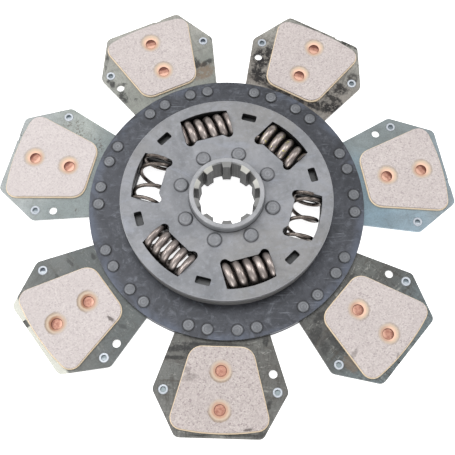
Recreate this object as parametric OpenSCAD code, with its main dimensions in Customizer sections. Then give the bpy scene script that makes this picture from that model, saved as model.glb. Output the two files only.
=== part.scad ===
// Seven-paddle ceramic-button clutch disc with a spring damper, lying flat, nose up.
// Z runs along the hub axis, Z = 0 is the joint plane between the two paddle leaves.
// Radii build up from the spline outwards, so a wider part pushes its neighbours out.

/* [Build] */
// which piece to draw
// circle smoothness of the large turned faces
turn_fn = 96; // [48:8:160]
// circle smoothness of rivets and small holes
small_fn = 24; // [16:4:48]

/* [Hub] */
// major diameter of the spline, the nominal size
spline_major_d = 44.45; // [30:0.05:60]
// minor diameter as a share of the major diameter
spline_minor_share = 0.86; // [0.78:0.01:0.92]
// width of a spline space as a share of the major diameter
spline_space_share = 0.156; // [0.12:0.001:0.2]
// number of spline teeth
spline_count = 10; // [6:1:16]
// wall between the spline bottoms and the outside of the nose
hub_wall = 3.275; // [2:0.005:8]
// height of the nose face above the joint plane
nose_z = 26.3; // [20:0.1:40]
// lower end of the hub
tail_z = 1.5; // [-10:0.1:3]
// bevel at the hub ends
hub_bevel = 1.0; // [0.2:0.1:2]
// depth of the long lead-in bevel on the teeth at the nose
lead_h = 2.2; // [0.5:0.1:4]
// width of the hub flange outside the nose
hub_flange_w = 11.5; // [9:0.1:16]

/* [Hub rivets] */
// number of hub rivets
hub_rivet_count = 8; // [6:1:12]
// direction of the first hub rivet
hub_rivet_first_angle = 30; // [0:0.5:45]
// place of the rivets across the flange, 0 at the nose and 1 at the rim
hub_rivet_share = 0.5513; // [0.4:0.0001:0.7]
// head diameter as a share of the flange width
hub_head_share = 0.87; // [0.7:0.01:0.95]
// flat top of a head as a share of its diameter
hub_head_top_share = 0.8; // [0.5:0.01:1]
// head height as a share of its diameter
hub_head_h_share = 0.14; // [0.08:0.01:0.3]
// shank diameter as a share of the head diameter
hub_shank_share = 0.64; // [0.5:0.01:0.8]

/* [Damper stack] */
// free twist to either side that the stops allow
stop_travel_angle = 6.2; // [3:0.1:12]
// angular width of a stop lug
lug_angle = 9; // [5:0.5:14]
// number of stop lugs
lug_count = 4; // [2:2:8]
// reach of a stop lug into the hub flange
lug_reach = 2.1; // [1:0.1:4]
// width of the friction rings
friction_w = 4.1; // [3:0.1:6]
// thickness of the front friction ring
friction_front_t = 1.7; // [0.5:0.05:1.7]
// thickness of the rear friction ring
friction_rear_t = 0.9; // [0.5:0.05:1.2]
// metal thickness of the disc spring
disc_spring_t = 0.45; // [0.3:0.05:0.7]

/* [Springs] */
// height of the spring axis above the joint plane
coil_z = 11.25; // [9:0.05:13]
// outer diameter of every spring
coil_od = 21.9; // [18:0.1:24]
// wire of the four stiff springs
stiff_wire = 5.5; // [3:0.1:6]
// wire of the two light springs
light_wire = 2.6; // [2:0.1:4]
// turns of the two wide-pitch stiff springs
turns_a = 4.9; // [3:0.05:7]
// turns of the two close-pitch stiff springs
turns_b = 5.35; // [3:0.05:7]
// turns of the light spring on the left
turns_c = 3.49; // [2:0.01:6]
// turns of the light spring on the right
turns_d = 3.8; // [2:0.01:6]
// sides of the wire section
wire_sides = 8; // [6:1:16]
// steps along one turn
coil_steps = 18; // [12:1:32]

/* [Spring windows] */
// direction of the first window
first_window_angle = 45; // [0:1:60]
// half length of a window
win_half = 16.7; // [14:0.1:20]
// room left outside a spring in its window
win_extra = 0.05; // [0:0.05:1]
// distance of the relief lobes inwards from the spring axis
lobe_back = 7.9; // [6:0.1:9]
// position of a lobe along the window
lobe_x = 13.6; // [11:0.1:15]
// radius of a relief lobe
lobe_r = 3.1; // [2:0.1:4]

/* [Covers] */
// thickness of either cover
cover_t = 4.0; // [2:0.1:6]
// inner face of the front cover
front_z = 15.0; // [12:0.1:16]
// inner face of the rear cover
rear_z = 7.5; // [6:0.1:9]
// overhang of the front cover beyond the raised rim
front_overhang = 0.5; // [0:0.1:3]
// clearance of the rear cover inside the raised rim
rear_inset = 0.6; // [0.2:0.1:2]
// bevel round the front cover
cover_bevel = 0.5; // [0.2:0.1:1.5]
// number of small slots between the windows
slot_count = 6; // [0:1:6]
// distance of the slots outwards from the spring axis
slot_shift = 7.65; // [5:0.05:9]
// length of a slot along the rim
slot_l = 10.1; // [6:0.1:14]
// width of a slot
slot_w = 5.1; // [3:0.1:8]
// corner rounding of a slot
slot_round = 1.1; // [0.3:0.1:2.5]

/* [Drive plate and clamp ring] */
// room between a window and the raised rim
rim_room = 4.2; // [2:0.1:6]
// wall of the raised rim
rim_w = 3.0; // [2:0.1:5]
// height of the rim top above the joint plane
rim_top = 14.7; // [12:0.1:15]
// lower face of the raised web
web_z = 9.25; // [8:0.05:11]
// thickness of the raised web
web_t = 4.0; // [3:0.1:6]
// width of the flat outer flange beyond the rim
flange_w = 23.4; // [20:0.1:30]
// thickness of the flat outer flange
flange_t = 3.0; // [2:0.1:5]
// width of the rear clamp ring
clamp_w = 18.9; // [16:0.1:22]
// thickness of the rear clamp ring
clamp_t = 2.2; // [1.5:0.1:4]
// distance of the ring rivets inwards from the plate edge
ring_rivet_edge = 6.5; // [5:0.1:10]
// direction of the two inner rivets of a paddle
ring_rivet_near_angle = 6.45; // [3:0.05:10]
// direction of the two outer rivets of a paddle
ring_rivet_far_angle = 14.68; // [10:0.05:20]
// diameter of a ring rivet head
ring_head_d = 7.9; // [6:0.1:10]
// height of the front head
ring_head_h = 0.9; // [0.4:0.1:2]
// height of the closed rear head
ring_tail_h = 0.7; // [0.4:0.1:2]
// diameter of a ring rivet shank
ring_shank_d = 5.0; // [3:0.1:7]

/* [Paddles] */
// number of paddles
paddle_count = 7; // [5:1:9]
// direction of the first paddle in degrees
first_paddle_angle = -92.08; // [-180:0.01:180]
// thickness of one spring-steel leaf
leaf_t = 1.0; // [0.6:0.1:1.6]
// length of a leaf held under the flange
leaf_hold = 15.9; // [10:0.1:17]
// length of a leaf beyond the plate edge
leaf_reach = 62.0; // [50:0.1:80]
// half width of a leaf at its inner end
leaf_in_w = 27.9; // [20:0.1:34]
// half width across the side corners
leaf_mid_w = 44.15; // [30:0.05:50]
// half width of the straight outer edge
leaf_out_w = 28.1; // [15:0.1:40]
// distance of the side corners inwards from the outer edge
leaf_shoulder = 29.7; // [20:0.1:40]
// corner rounding of the leaf
leaf_round = 4.5; // [1:0.5:8]
// width of the locating notch in the outer edge
notch_w = 5; // [2:0.5:8]
// depth of the locating notch
notch_d = 1.7; // [0.5:0.1:4]
// distance of the notch from the paddle centre line
notch_x = -12.5; // [-20:0.5:20]
// distance of the drilled hole inwards from the side corners
hole_back = 11.8; // [5:0.1:20]
// distance of the drilled hole in from the side corner, across the paddle
hole_edge = 10.3; // [5:0.1:20]
// diameter of the drilled hole
hole_d = 5.6; // [3:0.1:8]

/* [Friction pads] */
// distance between the plate edge and the pads
pad_start = 3.5; // [1:0.1:8]
// leaf left bare outside a pad
pad_stop = 2.5; // [1:0.1:8]
// half width of the cup at its inner edge
pad_in_w = 20.1; // [14:0.1:28]
// half width of the cup at its outer corners
pad_out_w = 33.6; // [25:0.1:40]
// rounding of the two inner corners
pad_in_round = 9.6; // [3:0.1:14]
// rounding of the two outer corners
pad_out_round = 7.8; // [3:0.1:12]
// thickness of the metal backing cup
cup_t = 1.3; // [0.6:0.1:2]
// thickness of the sintered lining on the cup
lining_t = 1.3; // [0.6:0.1:4]
// width of the cup ledge left bare round the lining
cup_ledge = 0.7; // [0.2:0.1:1.5]
// place of the inner rivet along the pad
pad_rivet_in_share = 0.2875; // [0.15:0.0005:0.4]
// place of the outer rivet along the pad
pad_rivet_out_share = 0.734; // [0.6:0.001:0.85]
// top diameter of the countersink over a pad rivet
sink_d = 14.0; // [10:0.1:18]
// depth of the countersink
sink_h = 1.3; // [0.3:0.1:2]
// thickness of metal left under a pad rivet head
seat_t = 0.45; // [0.3:0.05:1.2]
// diameter of a pad rivet head
pad_head_d = 7.2; // [6:0.1:10]
// height of a pad rivet head
pad_head_h = 0.4; // [0.3:0.05:1]
// diameter of a pad rivet shank
pad_shank_d = 4.8; // [3:0.1:6]

/* [Eyelets] */
// distance of an eyelet in from the side corner of the leaf
eyelet_edge = 7.3; // [5:0.1:12]
// outer diameter of the rolled flange
eyelet_d = 6.6; // [4:0.1:9]
// outer diameter of the tube
eyelet_tube_d = 5.0; // [3:0.1:7]
// bore of the tube, open at the front only
eyelet_bore_d = 3.6; // [2:0.1:5]
// height of the rolled flange and of the closed rear head
eyelet_h = 0.5; // [0.2:0.1:1]
// metal left under the bore, from the rear head inwards
eyelet_floor_t = 1.3; // [0.5:0.1:2]

/* [Fits] */
// gap between a rivet shank and its hole
rivet_gap = 0.03; // [0.01:0.01:0.1]
// running gap between web bore and hub flange
run_gap = 0.08; // [0.02:0.01:0.1]
// running gap under a friction ring
face_gap = 0.05; // [0.02:0.01:0.2]
// room between the hub flange and the rings round it
ring_gap = 0.3; // [0.1:0.05:1]
// room between the tip of a stop lug and its notch
notch_gap = 0.3; // [0.1:0.05:1]
// room between the friction rings and the springs
coil_room_gap = 0.35; // [0.1:0.05:2]
// room round a spring inside its window
coil_gap = 0.3; // [0.2:0.05:0.6]
// room between a spring end and its window end
end_gap = 0.1; // [0.05:0.05:0.5]
// gap between a cover bore and the hub
cover_gap = 0.05; // [0.02:0.01:0.5]
// radial gap of a pad rivet head and of an eyelet tube
head_gap = 0.05; // [0.02:0.01:0.2]

/* [Hidden] */
eps = 0.5;

// hub and damper stack, from the axis outwards
spline_major_r = spline_major_d / 2;
spline_minor_r = spline_major_r * spline_minor_share;
spline_space_w = spline_major_d * spline_space_share;
nose_r = spline_major_r + hub_wall;
hub_flange_r = nose_r + hub_flange_w;
hub_rivet_r = nose_r + hub_rivet_share * hub_flange_w;
hub_head_d = hub_head_share * hub_flange_w;
hub_head_h = hub_head_h_share * hub_head_d;
hub_shank_d = hub_shank_share * hub_head_d;
lug_r = hub_flange_r - lug_reach;
notch_angle = lug_angle + 2 * stop_travel_angle;
ring_in_r = hub_flange_r + ring_gap;
friction_r = ring_in_r + friction_w;

// springs and their windows
coil_envelope_r = coil_od / 2 + coil_gap;
coil_y = friction_r + coil_room_gap + coil_envelope_r;
coil_len = 2 * (win_half - end_gap);
win_out = coil_y + coil_envelope_r + win_extra;
lobe_y = coil_y - lobe_back;
win_count = 6;
win_step = 360 / win_count;
slot_first_angle = first_window_angle + win_step / 2;
slot_r = coil_y + slot_shift;
// start angle and turns of each spring, one to six
spring_starts = [88, -5, 43.5, -60, 146, 180];
spring_turns = [turns_a, turns_b, turns_c, turns_a, turns_b, turns_d];

// covers and drive plate
rim_in_r = win_out + rim_room;
rim_r = rim_in_r + rim_w;
front_r = rim_r + front_overhang;
rear_r = rim_in_r - rear_inset;
plate_r = rim_r + flange_w;
clamp_in_r = plate_r - clamp_w;
ring_rivet_r = plate_r - ring_rivet_edge;
flange_z = leaf_t;
flange_top = flange_z + flange_t;
front_top = front_z + cover_t;
rear_bottom = rear_z - cover_t;
web_top = web_z + web_t;

// paddles and pads
paddle_step = 360 / paddle_count;
leaf_in = plate_r - leaf_hold;
leaf_out = plate_r + leaf_reach;
leaf_mid = leaf_out - leaf_shoulder;
leaf_pts = [
    [-leaf_in_w, -leaf_in],
    [-leaf_mid_w, -leaf_mid],
    [-leaf_out_w, -leaf_out],
    [leaf_out_w, -leaf_out],
    [leaf_mid_w, -leaf_mid],
    [leaf_in_w, -leaf_in]
];
leaf_rounds = [1, leaf_round, leaf_round, leaf_round, leaf_round, 1];
eyelet_x = leaf_mid_w - eyelet_edge;
hole_x = leaf_mid_w - hole_edge;
hole_y = leaf_mid - hole_back;
pad_in = plate_r + pad_start;
pad_out = leaf_out - pad_stop;
pad_corner_y = sqrt(pad_out * pad_out - pad_out_w * pad_out_w);
pad_t = cup_t + lining_t;
pad_slope = (pad_out_w - pad_in_w) / (pad_corner_y - pad_in);
pad_rivet_in = pad_in + pad_rivet_in_share * (pad_out - pad_in);
pad_rivet_out = pad_in + pad_rivet_out_share * (pad_out - pad_in);
bore_d = pad_head_d + 2 * head_gap;

// turn a shape drawn pointing towards -Y so that it points in direction a
module facing(a) {
    rotate([0, 0, a + 90]) children();
}

// direction of paddle i, counted from 1
function paddle_dir(i) = first_paddle_angle + (i - 1) * paddle_step;

// unit vector from a to b
function unit(a, b) = (b - a) / norm(b - a);

// points of one rounded corner b between a and c
function corner(a, b, c, r, n) =
    let (
        u = unit(b, a),
        v = unit(b, c),
        half = acos(u * v) / 2,
        m = b + unit([0, 0], u + v) * (r / sin(half)),
        s = b + u * (r / tan(half)),
        e = b + v * (r / tan(half)),
        a0 = atan2(s[1] - m[1], s[0] - m[0]),
        a1 = atan2(e[1] - m[1], e[0] - m[0]),
        turn = a1 - a0 > 180 ? a1 - a0 - 360 : a1 - a0 < -180 ? a1 - a0 + 360 : a1 - a0
    )
    [for (k = [0 : n]) m + r * [cos(a0 + turn * k / n), sin(a0 + turn * k / n)]];

// closed outline with every corner rounded by its own radius
function rounded(p, r, n) =
    [for (i = [0 : len(p) - 1])
        each corner(p[(i + len(p) - 1) % len(p)], p[i], p[(i + 1) % len(p)], r[i], n)];

// outline of a pad, drawn pointing towards -Y, pulled in by d all round
function pad_outline(d) =
    let (
        inner = pad_in + d,
        lean = atan(pad_slope),
        shift = d / cos(lean),
        w_in = pad_in_w + pad_slope * d - shift,
        w_out = pad_out_w - shift,
        arc = asin(w_out / (pad_out - d)),
        low = [for (k = [-5 : 5]) (pad_out - d) * [sin(arc * k / 6), -cos(arc * k / 6)]],
        left = (pad_out - d) * [-sin(arc), -cos(arc)],
        right = (pad_out - d) * [sin(arc), -cos(arc)]
    )
    concat(
        corner([w_in, -inner], [-w_in, -inner], left, pad_in_round - d, 6),
        corner([-w_in, -inner], left, low[1], pad_out_round - d, 6),
        [for (k = [2 : 8]) low[k]],
        corner(low[9], right, [w_in, -inner], pad_out_round - d, 6),
        corner(right, [w_in, -inner], [-w_in, -inner], pad_in_round - d, 6)
    );

// the four corners where ring rivets pass through one paddle
function ring_spots() =
    [-ring_rivet_far_angle, -ring_rivet_near_angle, ring_rivet_near_angle, ring_rivet_far_angle];

// put children at every ring rivet of one paddle
module at_ring_spots() {
    for (a = ring_spots()) rotate([0, 0, a]) translate([0, -ring_rivet_r, 0]) children();
}

// put children at both pad rivets of one paddle
module at_pad_spots() {
    for (y = [pad_rivet_in, pad_rivet_out]) translate([0, -y, 0]) children();
}

// put children at both eyelets of one paddle
module at_eyelet_spots() {
    for (x = [-eyelet_x, eyelet_x]) translate([x, -leaf_mid, 0]) children();
}

// put children at every hub rivet
module at_hub_spots() {
    for (k = [0 : hub_rivet_count - 1])
        rotate([0, 0, hub_rivet_first_angle + k * 360 / hub_rivet_count])
            translate([hub_rivet_r, 0, 0]) children();
}

// one leaf of a paddle between z0 and z0 + leaf_t
module leaf(z0, notched) {
    difference() {
        translate([0, 0, z0])
            linear_extrude(height = leaf_t) polygon(rounded(leaf_pts, leaf_rounds, 6));
        translate([0, 0, z0 - eps]) {
            at_ring_spots() cylinder(h = leaf_t + 2 * eps, d = ring_shank_d + 2 * rivet_gap, $fn = small_fn);
            at_pad_spots() cylinder(h = leaf_t + 2 * eps, d = pad_shank_d + 2 * rivet_gap, $fn = small_fn);
            at_eyelet_spots() cylinder(h = leaf_t + 2 * eps, d = eyelet_tube_d + 2 * head_gap, $fn = small_fn);
            translate([hole_x, -hole_y, 0])
                cylinder(h = leaf_t + 2 * eps, d = hole_d, $fn = small_fn);
            if (notched)
                translate([notch_x - notch_w / 2, -leaf_out - notch_d, 0])
                    cube([notch_w, 2 * notch_d, leaf_t + 2 * eps]);
        }
    }
}

// one pad on its backing cup, seated at z = 0 and facing up
module pad() {
    difference() {
        union() {
            linear_extrude(height = cup_t) polygon(pad_outline(0));
            linear_extrude(height = pad_t) polygon(pad_outline(cup_ledge));
        }
        at_pad_spots() {
            translate([0, 0, -eps])
                cylinder(h = pad_t + 2 * eps, d = pad_shank_d + 2 * rivet_gap, $fn = small_fn);
            translate([0, 0, seat_t]) cylinder(h = pad_t, d = bore_d, $fn = small_fn);
            translate([0, 0, pad_t - sink_h])
                cylinder(h = sink_h + 0.02, d1 = bore_d, d2 = sink_d, $fn = small_fn);
        }
    }
}

module front_leaf(i) {
    color([0.47, 0.52, 0.52]) facing(paddle_dir(i)) leaf(0, true);
}

module rear_leaf(i) {
    color([0.44, 0.49, 0.49]) facing(paddle_dir(i)) leaf(-leaf_t, false);
}

module front_pad(i) {
    color([0.82, 0.74, 0.71]) facing(paddle_dir(i)) translate([0, 0, leaf_t]) pad();
}

module rear_pad(i) {
    color([0.82, 0.74, 0.71])
        facing(paddle_dir(i)) mirror([0, 0, 1]) translate([0, 0, leaf_t]) pad();
}

// copper rivets that hold a front and a rear pad on every paddle
module pad_rivets() {
    color([0.80, 0.52, 0.42])
        for (i = [1 : paddle_count]) facing(paddle_dir(i)) at_pad_spots() {
            seat = leaf_t + seat_t;
            translate([0, 0, -seat]) cylinder(h = 2 * seat, d = pad_shank_d, $fn = small_fn);
            for (m = [0, 1]) mirror([0, 0, m]) translate([0, 0, seat])
                cylinder(h = pad_head_h, d = pad_head_d, $fn = small_fn);
        }
}

// half-tubular rivets that pin the two leaves together at the side corners, rolled over in front
module eyelets() {
    color([0.78, 0.81, 0.84])
        for (i = [1 : paddle_count]) facing(paddle_dir(i)) at_eyelet_spots() difference() {
            union() {
                translate([0, 0, -leaf_t - eyelet_h])
                    cylinder(h = 2 * (leaf_t + eyelet_h), d = eyelet_tube_d, $fn = small_fn);
                for (m = [0, 1]) mirror([0, 0, m]) translate([0, 0, leaf_t])
                    cylinder(h = eyelet_h, d1 = eyelet_d, d2 = eyelet_d - 0.6, $fn = small_fn);
            }
            translate([0, 0, -leaf_t - eyelet_h + eyelet_floor_t])
                cylinder(h = 2 * (leaf_t + eyelet_h), d = eyelet_bore_d, $fn = small_fn);
            translate([0, 0, leaf_t + eyelet_h / 2])
                cylinder(h = eyelet_h / 2 + 0.02, d1 = eyelet_bore_d, d2 = eyelet_bore_d + 0.6, $fn = small_fn);
        }
}

// rivets through drive plate, both leaves and clamp ring
module ring_rivets() {
    color([0.45, 0.47, 0.50])
        for (i = [1 : paddle_count]) facing(paddle_dir(i)) at_ring_spots() {
            low = -leaf_t - clamp_t;
            translate([0, 0, low]) cylinder(h = flange_top - low, d = ring_shank_d, $fn = small_fn);
            translate([0, 0, flange_top]) {
                cylinder(h = ring_head_h / 2, d = ring_head_d, $fn = small_fn);
                translate([0, 0, ring_head_h / 2])
                    cylinder(h = ring_head_h / 2, d1 = ring_head_d, d2 = ring_head_d - 1, $fn = small_fn);
            }
            translate([0, 0, low - ring_tail_h])
                cylinder(h = ring_tail_h, d1 = ring_head_d - 0.8, d2 = ring_head_d, $fn = small_fn);
        }
}

// flat ring behind the paddles
module clamp_ring() {
    color([0.24, 0.26, 0.30]) difference() {
        translate([0, 0, -leaf_t - clamp_t]) cylinder(h = clamp_t, r = plate_r, $fn = turn_fn);
        translate([0, 0, -leaf_t - clamp_t - eps])
            cylinder(h = clamp_t + 2 * eps, r = clamp_in_r, $fn = turn_fn);
        for (i = [1 : paddle_count]) facing(paddle_dir(i)) at_ring_spots()
            translate([0, 0, -leaf_t - clamp_t - eps])
                cylinder(h = clamp_t + 2 * eps, d = ring_shank_d + 2 * rivet_gap, $fn = small_fn);
    }
}

// opening of one spring window in a cover, drawn pointing towards -Y
module cover_window(z0, h) {
    translate([0, 0, z0]) {
        intersection() {
            cylinder(h = h, r = win_out, $fn = turn_fn);
            translate([-win_half, -win_out, 0]) cube([2 * win_half, win_out - lobe_y, h]);
        }
        for (s = [-1, 1]) {
            translate([s * lobe_x, -lobe_y, 0]) cylinder(h = h, r = lobe_r, $fn = small_fn);
            linear_extrude(height = h) polygon([
                [s * lobe_x, -lobe_y - 1],
                [s * (lobe_x - 0.5 * lobe_r), -lobe_y + 0.86 * lobe_r],
                [s * (lobe_x - 1.45 * lobe_r), -lobe_y + 0.1],
                [s * (lobe_x - 1.6 * lobe_r), -lobe_y - 1]
            ]);
        }
    }
}

// round space that a spring needs, drawn pointing towards -Y
module coil_room() {
    translate([-win_half, -coil_y, coil_z]) rotate([0, 90, 0])
        cylinder(h = 2 * win_half, r = coil_envelope_r, $fn = 64);
}

// put children at every spring window
module at_windows() {
    for (k = [0 : win_count - 1]) facing(first_window_angle + k * win_step) children();
}

// small slots between the windows
module slots(z0, h) {
    for (k = [0 : slot_count - 1]) facing(slot_first_angle + k * win_step)
        translate([0, -slot_r, z0]) linear_extrude(height = h) polygon(rounded(
            [for (c = [[-1, -1], [1, -1], [1, 1], [-1, 1]]) [c[0] * slot_l, c[1] * slot_w] / 2],
            [slot_round, slot_round, slot_round, slot_round], 4));
}

module front_cover() {
    color([0.66, 0.67, 0.69]) difference() {
        union() {
            translate([0, 0, front_z])
                cylinder(h = cover_t - cover_bevel, r = front_r, $fn = turn_fn);
            translate([0, 0, front_top - cover_bevel])
                cylinder(h = cover_bevel, r1 = front_r, r2 = front_r - cover_bevel, $fn = turn_fn);
        }
        translate([0, 0, front_z - eps])
            cylinder(h = cover_t + 2 * eps, r = nose_r + cover_gap, $fn = turn_fn);
        at_windows() {
            cover_window(front_z - eps, cover_t + 2 * eps);
            coil_room();
        }
        slots(front_z - eps, cover_t + 2 * eps);
        at_hub_spots() translate([0, 0, front_z - eps])
            cylinder(h = cover_t + 2 * eps, d = hub_shank_d + 2 * rivet_gap, $fn = small_fn);
    }
}

module rear_cover() {
    color([0.62, 0.63, 0.65]) difference() {
        translate([0, 0, rear_bottom]) cylinder(h = cover_t, r = rear_r, $fn = turn_fn);
        translate([0, 0, rear_bottom - eps])
            cylinder(h = cover_t + 2 * eps, r = nose_r + cover_gap, $fn = turn_fn);
        at_windows() {
            cover_window(rear_bottom - eps, cover_t + 2 * eps);
            coil_room();
        }
        slots(rear_bottom - eps, cover_t + 2 * eps);
        at_hub_spots() translate([0, 0, rear_bottom - eps])
            cylinder(h = cover_t + 2 * eps, d = hub_shank_d + 2 * rivet_gap, $fn = small_fn);
    }
}

// flat-topped rivets through both covers and the hub flange
module hub_rivets() {
    color([0.60, 0.61, 0.63]) at_hub_spots() {
        translate([0, 0, rear_bottom])
            cylinder(h = front_top - rear_bottom, d = hub_shank_d, $fn = small_fn);
        for (m = [0, 1]) translate([0, 0, m == 0 ? front_top : rear_bottom]) mirror([0, 0, m]) {
            cylinder(h = hub_head_h / 3, d = hub_head_d, $fn = small_fn);
            translate([0, 0, hub_head_h / 3])
                cylinder(h = hub_head_h * 2 / 3, d1 = hub_head_d, d2 = hub_head_d * hub_head_top_share,
                    $fn = small_fn);
        }
    }
}

// pressed drive plate, flat flange outside and raised web inside the covers
module drive_plate() {
    color([0.25, 0.27, 0.31]) difference() {
        union() {
            translate([0, 0, flange_z]) cylinder(h = flange_t, r = plate_r, $fn = turn_fn);
            translate([0, 0, flange_z]) cylinder(h = rim_top - flange_z, r = rim_r, $fn = turn_fn);
        }
        // hollow behind the web
        translate([0, 0, flange_z - eps])
            cylinder(h = web_z - flange_z + eps, r = rim_in_r, $fn = turn_fn);
        // hollow in front of the web
        translate([0, 0, web_top])
            cylinder(h = rim_top - web_top + eps, r = rim_in_r, $fn = turn_fn);
        // bore over the hub flange, with the stop lugs left standing
        difference() {
            translate([0, 0, web_z - eps])
                cylinder(h = web_t + 2 * eps, r = hub_flange_r + run_gap, $fn = turn_fn);
            for (k = [0 : lug_count - 1]) rotate([0, 0, lug_dir(k)]) translate([0, 0, web_z - 2 * eps])
                linear_extrude(height = web_t + 4 * eps) lug_shape(lug_angle, lug_r, hub_flange_r + 2);
        }
        at_windows() {
            coil_room();
            intersection() {
                translate([0, 0, web_z - eps]) cylinder(h = web_t + 2 * eps, r = win_out, $fn = turn_fn);
                translate([-win_half, -win_out, web_z - eps])
                    cube([2 * win_half, win_out - coil_y + coil_envelope_r, web_t + 2 * eps]);
            }
        }
        for (i = [1 : paddle_count]) facing(paddle_dir(i)) at_ring_spots()
            translate([0, 0, flange_z - eps])
                cylinder(h = flange_t + 2 * eps, d = ring_shank_d + 2 * rivet_gap, $fn = small_fn);
    }
}

// direction of stop lug k, half way between two hub rivets
function lug_dir(k) = hub_rivet_first_angle + 180 / hub_rivet_count + k * 360 / lug_count;

// flat sector between two radii
module lug_shape(a, r0, r1) {
    polygon([
        r0 * [cos(a / 2), -sin(a / 2)],
        r1 * [cos(a / 2), -sin(a / 2)] / cos(a / 2),
        r1 * [cos(a / 2), sin(a / 2)] / cos(a / 2),
        r0 * [cos(a / 2), sin(a / 2)]
    ]);
}

module hub() {
    color([0.74, 0.75, 0.76]) difference() {
        union() {
            translate([0, 0, rear_z]) cylinder(h = front_z - rear_z, r = hub_flange_r, $fn = turn_fn);
            translate([0, 0, tail_z + hub_bevel])
                cylinder(h = nose_z - tail_z - 2 * hub_bevel, r = nose_r, $fn = turn_fn);
            translate([0, 0, nose_z - hub_bevel])
                cylinder(h = hub_bevel, r1 = nose_r, r2 = nose_r - hub_bevel / 2, $fn = turn_fn);
            translate([0, 0, tail_z])
                cylinder(h = hub_bevel, r1 = nose_r - hub_bevel / 2, r2 = nose_r, $fn = turn_fn);
        }
        translate([0, 0, tail_z - eps])
            cylinder(h = nose_z - tail_z + 2 * eps, r = spline_minor_r, $fn = turn_fn);
        for (k = [0 : spline_count - 1]) rotate([0, 0, 180 / spline_count + k * 360 / spline_count + 90])
            intersection() {
                translate([0, -spline_space_w / 2, tail_z - eps])
                    cube([spline_major_r + 1, spline_space_w, nose_z - tail_z + 2 * eps]);
                translate([0, 0, tail_z - eps])
                    cylinder(h = nose_z - tail_z + 2 * eps, r = spline_major_r, $fn = turn_fn);
            }
        // lead-in bevels of the spline, the long one at the nose takes in the whole tooth end
        translate([0, 0, nose_z - lead_h])
            cylinder(h = lead_h + 0.02, r1 = spline_minor_r, r2 = spline_major_r, $fn = turn_fn);
        translate([0, 0, tail_z - 0.02])
            cylinder(h = hub_bevel + 0.02, r1 = spline_minor_r + hub_bevel, r2 = spline_minor_r, $fn = turn_fn);
        // notches that the stop lugs move in
        for (k = [0 : lug_count - 1]) rotate([0, 0, lug_dir(k)])
            translate([0, 0, rear_z - eps]) linear_extrude(height = front_z - rear_z + 2 * eps)
                lug_shape(notch_angle, lug_r - notch_gap, hub_flange_r + 2);
        at_hub_spots() translate([0, 0, rear_z - eps])
            cylinder(h = front_z - rear_z + 2 * eps, d = hub_shank_d + 2 * rivet_gap, $fn = small_fn);
    }
}

// flat friction ring between a cover and the web
module flat_ring(z0, h) {
    difference() {
        translate([0, 0, z0]) cylinder(h = h, r = friction_r, $fn = turn_fn);
        translate([0, 0, z0 - eps]) cylinder(h = h + 2 * eps, r = ring_in_r, $fn = turn_fn);
    }
}

module friction_ring_front() {
    color([0.30, 0.26, 0.22]) flat_ring(front_z - friction_front_t, friction_front_t);
}

module friction_ring_rear() {
    color([0.30, 0.26, 0.22])
        flat_ring(web_z - face_gap - friction_rear_t, friction_rear_t);
}

// shallow cone that presses the rear friction ring against the web
module disc_spring() {
    top = web_z - face_gap - friction_rear_t;
    color([0.35, 0.36, 0.38]) rotate_extrude($fn = turn_fn) polygon([
        [ring_in_r + 0.1, rear_z],
        [ring_in_r + 0.5, rear_z],
        [friction_r - 0.1, top - disc_spring_t],
        [friction_r - 0.1, top],
        [friction_r - 0.5, top],
        [ring_in_r + 0.1, rear_z + disc_spring_t]
    ]);
}

// share of the open pitch reached after t turns, closed ends of c turns, ramp of w turns
function open_turns(t, n, c, w) =
    let (x = min(max(t - c, 0), n - 2 * c), m = n - 2 * c)
    x < w ? x * x / (2 * w) : x < m - w ? x - w / 2 : m - w - (m - x) * (m - x) / (2 * w);

// round wire wound along x, from -run / 2 to run / 2, starting at angle start,
// advancing by base in a turn at the closed ends
module coil(wire, turns, run, base, closed, ramp, start) {
    mean_r = (coil_od - wire) / 2;
    open_pitch = (run - base * turns) / open_turns(turns, turns, closed, ramp);
    n = ceil(turns * coil_steps);
    rings = [for (i = [0 : n])
        let (
            t = turns * i / n,
            a = start + 360 * t,
            x = -run / 2 + base * t + open_pitch * open_turns(t, turns, closed, ramp),
            slope = i == 0 || i == n ? base : base + open_pitch
                * (open_turns(t + 0.01, turns, closed, ramp) - open_turns(t - 0.01, turns, closed, ramp)) / 0.02,
            lean = atan(slope / (2 * PI * mean_r))
        )
        [for (k = [0 : wire_sides - 1])
            let (
                b = 360 * k / wire_sides,
                out = wire / 2 * cos(b),
                side = wire / 2 * sin(b)
            )
            [
                x + side * cos(lean),
                (mean_r + out) * cos(a) + side * sin(lean) * sin(a),
                (mean_r + out) * sin(a) - side * sin(lean) * cos(a)
            ]
        ]
    ];
    m = wire_sides;
    polyhedron(
        points = [for (r = rings) each r],
        faces = concat(
            [[for (k = [0 : m - 1]) k]],
            [for (i = [0 : n - 1], k = [0 : m - 1])
                [i * m + k, (i + 1) * m + k, (i + 1) * m + (k + 1) % m, i * m + (k + 1) % m]],
            [[for (k = [0 : m - 1]) n * m + m - 1 - k]]
        )
    );
}

// keep the part of a spring between its two ground ends
module ground_flat() {
    intersection() {
        children();
        translate([-coil_len / 2, -coil_od, -coil_od]) cube([coil_len, 2 * coil_od, 2 * coil_od]);
    }
}

// stiff spring, its end coils ground down to a quarter of the wire at the tips
module stiff_spring(turns, start) {
    color([0.42, 0.35, 0.32]) ground_flat()
        coil(stiff_wire, turns, coil_len + stiff_wire / 2, stiff_wire * 1.02, 0.35, 0.4, start);
}

// light spring, its end coils bent flat against the window ends
module light_spring(turns, start) {
    color([0.40, 0.35, 0.31]) ground_flat()
        coil(light_wire, turns, coil_len - light_wire / 2, light_wire * 0.4, 0.6, 0.4, start);
}

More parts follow.
